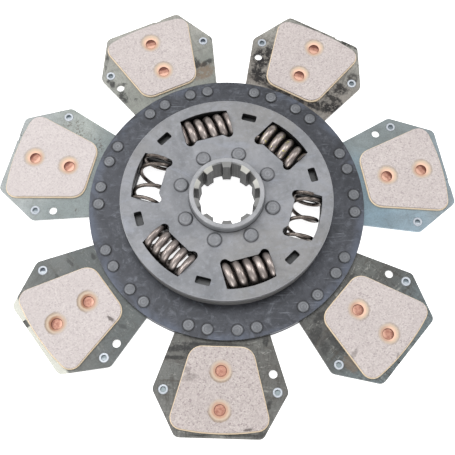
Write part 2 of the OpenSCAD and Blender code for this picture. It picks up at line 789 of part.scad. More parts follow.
// spring k of six in its window, the third and sixth are the light ones
module spring(k) {
    facing(first_window_angle + (k - 1) * win_step) translate([0, -coil_y, coil_z])
        if (k % 3 == 0) light_spring(spring_turns[k - 1], spring_starts[k - 1]);
        else stiff_spring(spring_turns[k - 1], spring_starts[k - 1]);
}

hub();
front_cover();
rear_cover();
hub_rivets();
drive_plate();
clamp_ring();
ring_rivets();
friction_ring_front();
friction_ring_rear();
disc_spring();
spring(1);  // spring_1
spring(2);  // spring_2
spring(3);  // spring_3
spring(4);  // spring_4
spring(5);  // spring_5
spring(6);  // spring_6
front_leaf(1);  // front_leaf_1
front_leaf(2);  // front_leaf_2
front_leaf(3);  // front_leaf_3
front_leaf(4);  // front_leaf_4
front_leaf(5);  // front_leaf_5
front_leaf(6);  // front_leaf_6
front_leaf(7);  // front_leaf_7
rear_leaf(1);  // rear_leaf_1
rear_leaf(2);  // rear_leaf_2
rear_leaf(3);  // rear_leaf_3
rear_leaf(4);  // rear_leaf_4
rear_leaf(5);  // rear_leaf_5
rear_leaf(6);  // rear_leaf_6
rear_leaf(7);  // rear_leaf_7
front_pad(1);  // front_pad_1
front_pad(2);  // front_pad_2
front_pad(3);  // front_pad_3
front_pad(4);  // front_pad_4
front_pad(5);  // front_pad_5
front_pad(6);  // front_pad_6
front_pad(7);  // front_pad_7
rear_pad(1);  // rear_pad_1
rear_pad(2);  // rear_pad_2
rear_pad(3);  // rear_pad_3
rear_pad(4);  // rear_pad_4
rear_pad(5);  // rear_pad_5
rear_pad(6);  // rear_pad_6
rear_pad(7);  // rear_pad_7
pad_rivets();
eyelets();
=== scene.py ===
# Looks of a clutch disc with button pads and a spring damper, dressed over its CAD meshes

import math

import bmesh
import bpy
from mathutils import Matrix, Vector


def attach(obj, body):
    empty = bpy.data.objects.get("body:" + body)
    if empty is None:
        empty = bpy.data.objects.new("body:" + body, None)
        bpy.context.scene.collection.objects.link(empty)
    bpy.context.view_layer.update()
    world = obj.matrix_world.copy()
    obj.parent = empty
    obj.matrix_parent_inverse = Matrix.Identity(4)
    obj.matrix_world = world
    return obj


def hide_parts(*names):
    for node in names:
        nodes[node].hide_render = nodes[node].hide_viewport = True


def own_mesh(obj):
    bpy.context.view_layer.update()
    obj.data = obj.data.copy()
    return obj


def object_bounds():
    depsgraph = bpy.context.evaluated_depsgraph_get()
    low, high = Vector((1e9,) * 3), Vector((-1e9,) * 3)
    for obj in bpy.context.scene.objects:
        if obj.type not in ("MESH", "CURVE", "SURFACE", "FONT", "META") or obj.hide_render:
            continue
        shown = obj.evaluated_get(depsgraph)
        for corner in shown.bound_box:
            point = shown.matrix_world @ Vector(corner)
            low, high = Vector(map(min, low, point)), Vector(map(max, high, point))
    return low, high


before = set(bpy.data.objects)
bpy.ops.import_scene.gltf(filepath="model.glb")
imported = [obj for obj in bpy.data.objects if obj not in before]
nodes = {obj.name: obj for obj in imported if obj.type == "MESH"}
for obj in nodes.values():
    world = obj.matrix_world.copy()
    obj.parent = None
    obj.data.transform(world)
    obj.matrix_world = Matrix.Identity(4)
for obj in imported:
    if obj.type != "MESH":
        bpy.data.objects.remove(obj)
cad_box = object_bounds()
scene = bpy.context.scene

MM = 0.001

# Places on the paddles: angles in degrees, reaches from the axis in metres
PADDLES = range(1, 8)
PADDLE_STEP = 360 / 7
FIRST_PADDLE = -92.08
PAD_IN, PAD_OUT = 98.4 * MM, 154.4 * MM
PAD_RIVET_REACHES = tuple(PAD_IN + share * (PAD_OUT - PAD_IN) for share in (0.2875, 0.734))
CUP_TOP = 2.3 * MM
SINK_R, PAD_HEAD_R = 7.0 * MM, 3.6 * MM
EYELET_REACH, EYELET_ANGLE = 132.43 * MM, 16.157
RING_RIVET_REACH = 88.4 * MM
RING_RIVET_ANGLES = (-14.68, -6.45, 6.45, 14.68)
RING_RIVET_HALF = 3.95 * MM

# First angle, step and reach of what repeats round the hub
HUB_RIVETS = (30, 45, 31.84 * MM)
HUB_RIVET_HALF = 5.0 * MM
SLOTS = (75, 60, 60.65 * MM)

# Radii and heights of the round pieces
SPLINE_R = 22.2 * MM
SPLINE_BEVEL_Z = 24.1 * MM
NOSE_R, NOSE_TOP = 25.5 * MM, 26.3 * MM
COVER_R, COVER_TOP, COVER_UNDER = 72.0 * MM, 19.0 * MM, 15.0 * MM
REAR_COVER_UNDER = 3.5 * MM
RIM_IN, RIM_R = 68.5 * MM, 71.5 * MM
PLATE_R, FLANGE_TOP, WEB_UNDER = 94.9 * MM, 4.0 * MM, 9.25 * MM

# Springs, in millimetres
COIL_R, COIL_Z, COIL_OD, COIL_LEN = 53.0, 11.25, 21.9, 33.2
FIRST_WINDOW, WINDOW_STEP = 45, 60


def paddle_dir(i):
    return FIRST_PADDLE + (i - 1) * PADDLE_STEP


def direction(angle):
    """Unit vector that points outwards at an angle in degrees."""
    a = math.radians(angle)
    return Vector((math.cos(a), math.sin(a), 0))


def srgb(r, g, b):
    """Linear colour from the 0 to 255 values seen on a screen."""
    out = []
    for c in (r, g, b):
        c /= 255
        out.append(c / 12.92 if c <= 0.04045 else ((c + 0.055) / 1.055) ** 2.4)
    return (*out, 1.0)


# Camera, solved from the round edges in the photo

PIXELS = 455
FOCAL_PIXELS = 789.04
CENTRE_PIXEL = (237.05, 234.87)
CAMERA_PLACE = (0, -0.1925, 0.51443)
CAMERA_ROWS = (
    (0.99991, -0.00785, 0.01085),
    (0.00401, 0.94862, 0.31639),
    (-0.01278, -0.31632, 0.94857),
)

cam_data = bpy.data.cameras.new("camera")
cam = bpy.data.objects.new("camera", cam_data)
scene.collection.objects.link(cam)
scene.camera = cam
cam_data.sensor_width = 36
cam_data.lens = FOCAL_PIXELS * cam_data.sensor_width / PIXELS
cam_data.shift_x = -(CENTRE_PIXEL[0] - PIXELS / 2) / PIXELS
cam_data.shift_y = (CENTRE_PIXEL[1] - PIXELS / 2) / PIXELS
cam_data.clip_start = 0.01
cam.matrix_world = Matrix.Translation(CAMERA_PLACE) @ Matrix(CAMERA_ROWS).transposed().to_4x4()

# Light

# place, size and power of each soft lamp
LAMPS = {
    "overhead": ((-0.15, 0.35, 1.3), 0.8, 7.9),
    "key_left": ((-1.0, 0.1, 0.9), 0.6, 6.0),
    "key_right": ((1.0, 0.2, 0.9), 0.5, 4.0),
    "fill_front": ((0.0, -1.3, 0.5), 0.8, 4.6),
}

scene.view_settings.view_transform = "Standard"
scene.view_settings.look = "None"
world = bpy.data.worlds.new("studio")
scene.world = world
world.use_nodes = True
world.node_tree.nodes["Background"].inputs["Color"].default_value = (1.0, 1.0, 1.0, 1.0)
world.node_tree.nodes["Background"].inputs["Strength"].default_value = 0.55


def area_light(name, place, size, power):
    """Square soft light that looks at the middle of the part."""
    data = bpy.data.lights.new(name, "AREA")
    data.energy = power
    data.size = size
    obj = bpy.data.objects.new(name, data)
    scene.collection.objects.link(obj)
    obj.location = place
    obj.rotation_mode = "QUATERNION"
    obj.rotation_quaternion = (-Vector(place)).to_track_quat("-Z", "Y")


for lamp, (place, size, power) in LAMPS.items():
    area_light(lamp, place, size, power)

# Node helpers


class Build:
    """A material under construction, with short calls for its nodes."""

    def __init__(self, name):
        self.mat = bpy.data.materials.new(name)
        self.mat.use_nodes = True
        self.tree = self.mat.node_tree
        self.bsdf = self.tree.nodes["Principled BSDF"]
        self.where = self.add("ShaderNodeTexCoord").outputs["Object"]

    def put(self, socket, value):
        """Link or set a socket, and leave it alone for None."""
        if isinstance(value, bpy.types.NodeSocket):
            self.tree.links.new(value, socket)
        elif value is not None:
            socket.default_value = value

    def add(self, kind, inputs=None, **props):
        n = self.tree.nodes.new(kind)
        for k, v in props.items():
            setattr(n, k, v)
        for k, v in (inputs or {}).items():
            self.put(n.inputs[k], v)
        return n

    def math(self, op, a, b=None, c=None):
        n = self.add("ShaderNodeMath", operation=op)
        for i, v in enumerate((a, b, c)):
            self.put(n.inputs[i], v)
        return n.outputs[0]

    def times(self, *values):
        out = values[0]
        for v in values[1:]:
            out = self.math("MULTIPLY", out, v)
        return out

    def vec(self, op, a, b=None, out=0):
        n = self.add("ShaderNodeVectorMath", operation=op)
        self.put(n.inputs[0], a)
        self.put(n.inputs[1], b)
        return n.outputs[out]

    def dot(self, a, b):
        return self.vec("DOT_PRODUCT", a, b, out=1)

    def noise(self, scale, detail=4.0, rough=0.55, where=None, distort=0.0):
        inputs = {"Vector": where or self.where, "Scale": scale, "Detail": detail}
        inputs.update({"Roughness": rough, "Distortion": distort})
        return self.add("ShaderNodeTexNoise", inputs).outputs["Fac"]

    def spread(self, value, low, high, to_low=0.0, to_high=1.0, smooth=True):
        """Value from low to high, turned into to_low to to_high and held there."""
        inputs = {"Value": value, "From Min": low, "From Max": high, "To Min": to_low, "To Max": to_high}
        n = self.add("ShaderNodeMapRange", inputs)
        n.interpolation_type = "SMOOTHSTEP" if smooth else "LINEAR"
        return n.outputs[0]

    def mix(self, share, a, b):
        n = self.add("ShaderNodeMix", data_type="RGBA", clamp_factor=True)
        self.put(n.inputs["Factor"], share)
        self.put(n.inputs[6], a)
        self.put(n.inputs[7], b)
        return n.outputs[2]

    def split(self, where=None):
        n = self.add("ShaderNodeSeparateXYZ", {0: where or self.where})
        return n.outputs[0], n.outputs[1], n.outputs[2]

    def height(self):
        return self.split()[2]

    def turned(self, angle):
        """Coordinates turned so that direction angle lies along -Y."""
        turn = (0, 0, -math.radians(angle + 90))
        return self.add("ShaderNodeMapping", {"Vector": self.where, "Rotation": turn}).outputs[0]

    def radius(self, where=None):
        """Distance from the Z axis."""
        return self.vec("LENGTH", self.vec("MULTIPLY", where or self.where, (1, 1, 0)), out=1)

    def length(self, x, y):
        return self.math("SQRT", self.math("ADD", self.math("MULTIPLY", x, x), self.math("MULTIPLY", y, y)))

    def spot(self, first, step, reach):
        """Distance to the nearest of the spots every step degrees, then how far outwards and up from it."""
        x, y, _ = self.split()
        angle = self.math("ARCTAN2", y, x)
        a = self.math("SUBTRACT", angle, math.radians(first))
        a = self.math("WRAP", a, math.radians(step / 2), -math.radians(step / 2))
        r = self.radius()
        aside = self.math("MULTIPLY", r, self.math("SINE", a))
        outwards = self.math("SUBTRACT", self.math("MULTIPLY", r, self.math("COSINE", a)), reach)
        centre_y = self.math("MULTIPLY", self.math("SINE", self.math("SUBTRACT", angle, a)), reach)
        return self.length(aside, outwards), outwards, self.math("SUBTRACT", y, centre_y)

    def nearest(self, first, step, reach):
        return self.spot(first, step, reach)[0]

    def band(self, value, low, high, soft):
        """1 between low and high, fading to 0 over soft on either side."""
        return self.times(self.spread(value, low - soft, low), self.spread(value, high + soft, high))

    def bump(self, height, distance, strength=1.0, normal=None):
        inputs = {"Height": height, "Distance": distance, "Strength": strength, "Normal": normal}
        return self.add("ShaderNodeBump", inputs).outputs[0]

    def soft_edges(self, radius):
        return self.add("ShaderNodeBevel", {"Radius": radius}, samples=6).outputs[0]

    def hollow(self, distance):
        """1 in the open, towards 0 in corners."""
        return self.add("ShaderNodeAmbientOcclusion", {"Distance": distance}, samples=8).outputs["AO"]

    def blob(self, place, spot, ragged, grain, soft):
        """Mask of a ragged stain. The spot is x, y, half width, half height in millimetres and a tilt."""
        x, y, half_w, half_h, tilt = spot
        inputs = {"Vector": place, "Location": (x * MM, y * MM, 0), "Rotation": (0, 0, math.radians(tilt))}
        inputs["Scale"] = (half_w * MM, half_h * MM, 1)
        px, py, _ = self.split(self.add("ShaderNodeMapping", inputs, vector_type="TEXTURE").outputs[0])
        wobble = self.math("MULTIPLY_ADD", self.noise(grain, 6.0, 0.75), 2 * ragged, -ragged)
        return self.spread(self.math("ADD", self.length(px, py), wobble), 1 + soft / 2, 1 - soft / 2)

    def finish(self, colour, rough, metal, normal=None):
        b = self.bsdf.inputs
        self.put(b["Base Color"], colour)
        self.put(b["Roughness"], rough)
        b["Metallic"].default_value = metal
        if normal is not None:
            self.put(b["Normal"], normal)
        return self.mat


def dress(obj, mat):
    obj.data.materials.clear()
    obj.data.materials.append(mat)


# Floor

FLOOR_HALF = 6
FLOOR_DROP = 0.1 * MM
PAPER_GLOW = 0.82
STIFF_WINDOWS = (45, 105, 225, 285)
# radius of the painted shadow below a window, with and without its soft edge
SHADOW_SOFT_R, SHADOW_R = 26 * MM, 21 * MM
# the slanting camera sees the floor this much further back than the window above it
SHADOW_SHIFT = 5 * MM
# the photo shows white slivers along the middle of the spring in this window
OPEN_WINDOW = 225
SLIVER_REACH, SLIVER_HALF = 52.5 * MM, 5.0 * MM


def floor_material():
    """White paper, with a near black painted shadow where it lies below the stiff springs."""
    m = Build("floor_white")
    aside = m.vec("ADD", m.where, (0, -SHADOW_SHIFT, 0))
    # painted shadow: below each stiff spring the paper is darkened and glows less
    shade = 0.0
    for angle in STIFF_WINDOWS:
        out = direction(angle)
        patch = m.spread(m.radius(m.vec("ADD", aside, -COIL_R * MM * out)), SHADOW_SOFT_R, SHADOW_R)
        if angle == OPEN_WINDOW:
            off_line = m.math("ABSOLUTE", m.math("SUBTRACT", m.dot(aside, out), SLIVER_REACH))
            patch = m.times(patch, m.spread(off_line, SLIVER_HALF, SLIVER_HALF + 1.5 * MM))
        shade = m.math("MAXIMUM", shade, patch)
    paper = m.mix(m.noise(3.0, 2.0), (0.92, 0.92, 0.92, 1), (0.95, 0.95, 0.95, 1))
    m.bsdf.inputs["Emission Color"].default_value = (1.0, 1.0, 1.0, 1.0)
    m.put(m.bsdf.inputs["Emission Strength"], m.spread(shade, 0.0, 1.0, PAPER_GLOW, 0.0, smooth=False))
    return m.finish(m.mix(shade, paper, (0.12, 0.12, 0.12, 1)), 0.6, 0.0)


floor_mesh = bpy.data.meshes.new("floor")
floor_corners = [(x * FLOOR_HALF, y * FLOOR_HALF, 0) for x, y in ((-1, -1), (1, -1), (1, 1), (-1, 1))]
floor_mesh.from_pydata(floor_corners, [], [(0, 1, 2, 3)])
floor = bpy.data.objects.new("floor", floor_mesh)
floor.location.z = cad_box[0].z - FLOOR_DROP
scene.collection.objects.link(floor)
dress(floor, floor_material())

# Covers, drive plate and hub


def cover_material():
    """Grey sheet with clouds, wisps and specks, painted shade on its cut walls, in its corners and round
    the rivets, and a rubbed edge with painted light.
    """
    m = Build("cover_grey")
    far = m.radius()
    z = m.height()
    fine = m.noise(1000.0, 5.0, 0.7)
    cloud = m.noise(30.0, 6.0, 0.62, distort=0.8)
    wisp = m.noise(26.0, 6.0, 0.66, m.vec("MULTIPLY", m.where, (1.0, 2.6, 1.0)), 1.6)
    col = m.mix(m.spread(cloud, 0.3, 0.7), srgb(110, 112, 116), srgb(138, 139, 143))
    col = m.mix(m.spread(wisp, 0.52, 0.72, 0.0, 0.55), col, srgb(152, 156, 166))
    col = m.mix(m.spread(wisp, 0.44, 0.26, 0.0, 0.45), col, srgb(98, 99, 102))
    col = m.mix(m.spread(fine, 0.58, 0.78, 0.0, 0.35), col, srgb(94, 96, 99))
    col = m.mix(m.spread(m.noise(13.0, 3.0, 0.5), 0.5, 0.66, 0.0, 0.35), col, srgb(122, 118, 110))
    blotch = m.noise(120.0, 6.0, 0.74, distort=1.2)
    col = m.mix(m.spread(blotch, 0.52, 0.70, 0.0, 0.4), col, srgb(104, 106, 109))
    col = m.mix(m.spread(blotch, 0.46, 0.30, 0.0, 0.3), col, srgb(148, 150, 155))
    col = m.mix(m.spread(m.noise(420.0, 3.0, 0.6), 0.66, 0.74, 0.0, 0.5), col, srgb(84, 85, 88))
    flecks = m.noise(300.0, 5.0, 0.72)
    col = m.mix(m.spread(flecks, 0.50, 0.68, 0.0, 0.35), col, srgb(150, 153, 160))
    col = m.mix(m.spread(flecks, 0.46, 0.30, 0.0, 0.3), col, srgb(98, 100, 104))
    # painted shade: a faint dark ring round each hub rivet head
    ring = m.spread(m.nearest(*HUB_RIVETS), HUB_RIVET_HALF + 0.9 * MM, HUB_RIVET_HALF, 0.0, 0.2)
    col = m.mix(ring, col, srgb(70, 71, 73))
    # sheared edge, duller than the face but painted lighter for the light it lacks, with its two corners
    # rubbed and given a painted highlight
    col = m.mix(m.spread(far, COVER_R - 0.35 * MM, COVER_R - 0.1 * MM, 0.0, 0.8), col, srgb(132, 132, 134))
    upper = m.band(z, COVER_TOP - 0.6 * MM, COVER_TOP - 0.2 * MM, 0.2 * MM)
    lower = m.spread(z, COVER_UNDER + 0.6 * MM, COVER_UNDER + 0.2 * MM)
    wear_and_highlight = m.times(m.spread(far, COVER_R - 0.9 * MM, COVER_R - 0.5 * MM), m.math("MAXIMUM", upper, lower))
    col = m.mix(m.math("MULTIPLY", wear_and_highlight, 0.5), col, srgb(176, 178, 182))
    # painted shade: the cut walls of windows and slots are painted near black
    inside = m.spread(far, COVER_R - 0.8 * MM, COVER_R - 1.2 * MM)
    under_face = m.spread(z, COVER_TOP - 0.3 * MM, COVER_TOP - 0.6 * MM)
    over_face = m.spread(z, REAR_COVER_UNDER + 0.1 * MM, REAR_COVER_UNDER + 0.4 * MM)
    cut = m.times(inside, under_face, over_face)
    col = m.mix(m.math("MULTIPLY", cut, 0.9), col, srgb(22, 22, 23))
    # painted shade in the corners
    col = m.mix(m.spread(m.hollow(2 * MM), 0.2, 0.8), srgb(52, 53, 55), col)
    height = m.math("ADD", fine, m.math("MULTIPLY", cloud, 0.6))
    normal = m.bump(height, 0.04 * MM, 0.6, m.soft_edges(0.4 * MM))
    return m.finish(col, m.spread(wisp, 0.3, 0.7, 0.46, 0.6), 0.3, normal)


def plate_material():
    """Dark pressing, mottled and scratched, with a worn bluish outer band, painted light on its walls and
    slot floors, and painted shade round its rivets, on the web and in its corners.
    """
    m = Build("plate_dark")
    far = m.radius()
    z = m.height()
    fine = m.noise(900.0, 5.0, 0.7)
    cloud = m.noise(26.0, 6.0, 0.66, distort=1.0)
    col = m.mix(m.spread(cloud, 0.32, 0.68), srgb(44, 46, 51), srgb(70, 72, 78))
    patches = m.noise(70.0, 6.0, 0.72, distort=1.4)
    col = m.mix(m.spread(patches, 0.52, 0.72, 0.0, 0.6), col, srgb(98, 101, 108))
    mottle = m.noise(230.0, 6.0, 0.76, distort=0.8)
    col = m.mix(m.spread(mottle, 0.50, 0.66, 0.0, 0.45), col, srgb(34, 35, 38))
    col = m.mix(m.spread(mottle, 0.47, 0.33, 0.0, 0.5), col, srgb(100, 103, 111))
    # fine scratches that cross in two directions
    for tilt, seed in ((25, 0.0), (-50, 3.7)):
        inputs = {"Vector": m.where, "Rotation": (0, 0, math.radians(tilt)), "Scale": (60.0, 900.0, 1.0)}
        inputs["Location"] = (seed, seed, 0)
        hair = m.noise(1.0, 2.0, 0.5, m.add("ShaderNodeMapping", inputs).outputs[0])
        where = m.spread(m.noise(34.0 + seed, 3.0, 0.6), 0.5, 0.62)
        col = m.mix(m.times(m.spread(hair, 0.60, 0.74), where, 0.4), col, srgb(140, 144, 152))
    col = m.mix(m.spread(fine, 0.55, 0.78, 0.0, 0.4), col, srgb(38, 39, 42))
    # painted shade at the foot of each ring rivet
    for angle in RING_RIVET_ANGLES:
        d = m.nearest(FIRST_PADDLE + angle, PADDLE_STEP, RING_RIVET_REACH)
        foot = m.spread(d, RING_RIVET_HALF + 1.25 * MM, RING_RIVET_HALF + 0.05 * MM, 0.0, 0.7)
        col = m.mix(foot, col, srgb(26, 26, 29))
    worn = m.times(m.spread(far, PLATE_R - 7.9 * MM, PLATE_R - 0.9 * MM), m.spread(cloud, 0.42, 0.60))
    col = m.mix(m.math("MULTIPLY", worn, 0.55), col, srgb(88, 95, 110))
    # painted light: the outer wall is painted paler in patches to make up for the light it lacks
    edge = m.times(m.spread(far, PLATE_R - 0.3 * MM, PLATE_R - 0.05 * MM), m.spread(mottle, 0.40, 0.60))
    col = m.mix(edge, col, srgb(104, 106, 110))
    # painted light: the rim wall under the cover is painted pale to make up for the light it lacks
    above_flange = m.spread(z, FLANGE_TOP + 0.2 * MM, FLANGE_TOP + 2 * MM)
    wall = m.times(m.spread(far, RIM_R + 0.7 * MM, RIM_R + 0.2 * MM), above_flange)
    col = m.mix(wall, col, srgb(140, 139, 138))
    # painted shade: the web inside the rim is painted dark, and painted light makes it paler on the floors
    # of the slots
    above = m.spread(z, WEB_UNDER - 1.25 * MM, WEB_UNDER - 0.45 * MM)
    col = m.mix(m.times(m.spread(far, RIM_IN + 1.0 * MM, RIM_IN + 0.3 * MM), above), col, srgb(20, 20, 21))
    slot = m.spread(m.nearest(*SLOTS), 7.5 * MM, 6.5 * MM)
    col = m.mix(m.times(slot, above), col, srgb(66, 67, 68))
    # painted shade in the corners
    col = m.mix(m.spread(m.hollow(3 * MM), 0.2, 0.8, 0.3, 0.0), col, srgb(22, 22, 24))
    normal = m.bump(fine, 0.04 * MM, 0.6, m.soft_edges(0.4 * MM))
    return m.finish(col, m.spread(cloud, 0.3, 0.7, 0.36, 0.5), 0.55, normal)


def hub_material():
    """Turned nose, bevelled tooth ends with a painted highlight, broached walls, and painted shade at the
    foot of the nose and in corners.
    """
    m = Build("hub_machined")
    far = m.radius()
    x, y, z = m.split()
    fine = m.noise(800.0, 5.0, 0.7)
    rings = {"Vector": m.where, "Scale": 260.0, "Distortion": 0.6, "Detail": 2.0}
    marks = m.add("ShaderNodeTexWave", rings, wave_type="RINGS", rings_direction="Z").outputs["Fac"]
    wide = m.noise(90.0, 4.0, 0.6)
    col = m.mix(m.spread(wide, 0.3, 0.7), srgb(130, 131, 134), srgb(152, 153, 156))
    col = m.mix(m.math("MULTIPLY", marks, 0.15), col, srgb(160, 162, 164))
    # lead-in bevels on the tooth ends, with a painted cream highlight on the two shoulders
    on_bevel = m.spread(z, SPLINE_BEVEL_Z - 0.5 * MM, SPLINE_BEVEL_Z + 0.2 * MM)
    tips = m.times(m.spread(far, SPLINE_R + 0.1 * MM, SPLINE_R - 0.1 * MM), on_bevel)
    beside = m.spread(m.math("ABSOLUTE", x), 6 * MM, 8 * MM)
    bevel_highlight = m.times(beside, m.spread(y, -6 * MM, 14 * MM))
    col = m.mix(tips, col, m.mix(bevel_highlight, srgb(142, 142, 141), srgb(196, 195, 188)))
    # broached walls, darker down the bore
    down = m.spread(z, SPLINE_BEVEL_Z + 0.2 * MM, SPLINE_BEVEL_Z - 0.5 * MM)
    walls = m.times(m.spread(far, SPLINE_R + 0.25 * MM, SPLINE_R + 0.1 * MM), down)
    broach = m.noise(30.0, 4.0, 0.6, m.vec("MULTIPLY", m.where, (40.0, 40.0, 1.0)))
    col = m.mix(walls, col, m.mix(m.spread(broach, 0.3, 0.7), srgb(58, 58, 58), srgb(86, 86, 85)))
    # outside of the nose, and painted shade along the line where it meets the cover
    below_top = m.spread(z, NOSE_TOP - 0.5 * MM, NOSE_TOP - 0.8 * MM)
    side = m.times(m.spread(far, NOSE_R - 0.3 * MM, NOSE_R - 0.05 * MM), below_top)
    col = m.mix(m.math("MULTIPLY", side, 0.75), col, srgb(138, 140, 143))
    nose_foot_shade = m.times(side, m.spread(z, COVER_TOP + 1.0 * MM, COVER_TOP + 0.4 * MM))
    col = m.mix(nose_foot_shade, col, srgb(66, 67, 69))
    # painted shade in the corners
    col = m.mix(m.spread(m.hollow(2 * MM), 0.2, 0.8, 0.6, 0.0), col, srgb(44, 43, 42))
    normal = m.bump(fine, 0.03 * MM, 0.6, m.soft_edges(0.4 * MM))
    return m.finish(col, m.spread(fine, 0.3, 0.7, 0.44, 0.56), 0.4, normal)


# Rivets, eyelets and hidden parts


def rivet_material(name, dark, light, spots, half, marks):
    """Closed rivet heads: rings from the setting tool, a soft rim and painted shade at the foot."""
    m = Build(name)
    d = m.nearest(*spots[0])
    for spot in spots[1:]:
        d = m.math("MINIMUM", d, m.nearest(*spot))
    fine = m.noise(1300.0, 5.0, 0.7)
    wide = m.noise(240.0, 4.0, 0.6)
    col = m.mix(m.spread(wide, 0.3, 0.7), dark, light)
    rings = m.math("SINE", m.math("MULTIPLY", d, 2 * math.pi / (half / 2.4)))
    worn = m.times(m.spread(rings, 0.2, 1.0), m.spread(wide, 0.4, 0.6), marks)
    col = m.mix(worn, col, srgb(66, 67, 70))
    # painted shade at the edge of the head, where it meets the plate
    col = m.mix(m.spread(d, half * 0.86, half * 1.0, 0.0, 0.25), col, srgb(60, 61, 63))
    col = m.mix(m.spread(fine, 0.58, 0.78, 0.0, 0.4), col, srgb(70, 71, 74))
    height = m.math("ADD", fine, m.math("MULTIPLY", rings, 0.5))
    normal = m.bump(height, 0.05 * MM, 0.7, m.soft_edges(1.1 * MM))
    return m.finish(col, m.spread(fine, 0.3, 0.7, 0.4, 0.54), 0.45, normal)


def steel(name, dark, light, rough, edge=0.4 * MM, grain=900.0, patch=60.0, corner_shade=None):
    """Plain metal with fine grain, soft patches and painted shade in its corners, before its last touches.
    """
    m = Build(name)
    fine = m.noise(grain, 5.0, 0.7)
    wide = m.noise(patch, 3.0, 0.5, distort=0.4)
    share = m.math("ADD", m.math("MULTIPLY", fine, 0.45), m.math("MULTIPLY", wide, 0.55))
    col = m.mix(m.spread(share, 0.35, 0.65), dark, light)
    if corner_shade:
        # painted shade in the corners
        col = m.mix(m.spread(m.hollow(2.2 * MM), 0.25, 0.85), corner_shade, col)
    rough = m.spread(fine, 0.3, 0.7, rough - 0.06, rough + 0.08)
    return m, col, rough, m.bump(fine, 0.03 * MM, 0.6, m.soft_edges(edge))


def friction_ring_material():
    m, col, rough, normal = steel("friction_ring", srgb(52, 46, 40), srgb(70, 62, 54), 0.8)
    return m.finish(col, rough, 0.0, normal)


def disc_spring_material():
    m, col, rough, normal = steel("disc_spring", srgb(92, 92, 94), srgb(112, 112, 112), 0.35)
    return m.finish(col, rough, 0.9, normal)


def eyelet_material():
    """Zinc plated rims round grey bores, some of them with painted light where the light falls in."""
    m, col, rough, normal = steel("eyelet_zinc", srgb(168, 174, 182), srgb(196, 201, 208), 0.4,
                                  edge=0.3 * MM, corner_shade=srgb(70, 78, 86))
    _, y, z = m.split()
    bore = m.times(m.spread(z, 1.25 * MM, 1.05 * MM), m.spread(z, -0.4 * MM, -0.3 * MM))
    left = m.spot(FIRST_PADDLE - EYELET_ANGLE, PADDLE_STEP, EYELET_REACH)
    right = m.spot(FIRST_PADDLE + EYELET_ANGLE, PADDLE_STEP, EYELET_REACH)
    on_left = m.math("LESS_THAN", left[0], right[0])
    on_right = m.math("SUBTRACT", 1.0, on_left)
    up = m.math("ADD", m.math("MULTIPLY", on_left, left[2]), m.math("MULTIPLY", on_right, right[2]))
    grey = m.mix(m.spread(m.noise(9.0, 1.0), 0.42, 0.58), srgb(88, 96, 108), srgb(124, 135, 142))
    # painted light on the lower side of some bores
    lit = m.times(m.spread(up, 0.4 * MM, -0.8 * MM), m.spread(m.noise(14.0, 1.0), 0.40, 0.55))
    grey = m.mix(lit, grey, srgb(206, 213, 220))
    # painted light: the bores nearest the camera are the palest
    pale = m.spread(y, -95 * MM, -115 * MM)
    col = m.mix(bore, col, m.mix(pale, grey, srgb(148, 160, 164)))
    return m.finish(col, rough, 0.3, normal)


def pad_rivet_material():
    """Copper heads with painted shade of their recess on the outer and upper side, and painted light on the
    other side.
    """
    m, col, rough, normal = steel("pad_rivet_copper", srgb(146, 96, 80), srgb(186, 140, 122), 0.45,
                                  edge=0.3 * MM, grain=1300.0, patch=500.0, corner_shade=srgb(112, 58, 44))
    near, far = PAD_RIVET_REACHES
    outer = m.math("GREATER_THAN", m.radius(), (near + far) / 2)
    reach = m.math("MULTIPLY_ADD", outer, far - near, near)
    _, outwards, up = m.spot(FIRST_PADDLE, PADDLE_STEP, reach)
    shade = m.math("ADD", m.math("MULTIPLY", outwards, 0.75), m.math("MULTIPLY", up, 0.5))
    shade = m.math("MULTIPLY_ADD", m.noise(700.0, 4.0, 0.7), 1.6 * MM, shade)
    # painted light on the inner and lower side of each head, painted shade on the outer and upper side
    col = m.mix(m.spread(shade, 0.4 * MM, -1.4 * MM), col, srgb(212, 168, 148))
    col = m.mix(m.spread(shade, 1.4 * MM, 3.4 * MM, 0.0, 0.85), col, srgb(92, 42, 30))
    return m.finish(col, rough, 0.45, normal)


def hub_rivet_material():
    dark, light = srgb(102, 104, 107), srgb(126, 127, 131)
    return rivet_material("hub_rivet", dark, light, [HUB_RIVETS], HUB_RIVET_HALF, 0.45)


def ring_rivet_material():
    spots = [(FIRST_PADDLE + angle, PADDLE_STEP, RING_RIVET_REACH) for angle in RING_RIVET_ANGLES]
    dark, light = srgb(90, 92, 96), srgb(116, 118, 122)
    return rivet_material("ring_rivet", dark, light, spots, RING_RIVET_HALF, 0.6)


LOOKS = (
    (cover_material(), ("front_cover", "rear_cover")),
    (plate_material(), ("drive_plate", "clamp_ring")),
    (hub_material(), ("hub",)),
    (hub_rivet_material(), ("hub_rivets",)),
    (ring_rivet_material(), ("ring_rivets",)),
    (friction_ring_material(), ("friction_ring_front", "friction_ring_rear")),
    (disc_spring_material(), ("disc_spring",)),
    (eyelet_material(), ("eyelets",)),
    (pad_rivet_material(), ("pad_rivets",)),
)
for material, names in LOOKS:
    for node_name in names:
        dress(nodes[node_name], material)

# Paddle leaves

BLACK = srgb(40, 40, 40)
SOOT = srgb(32, 30, 30)
BROWN = srgb(112, 98, 84)
RUST = srgb(66, 52, 42)
CREAM = srgb(182, 183, 175)
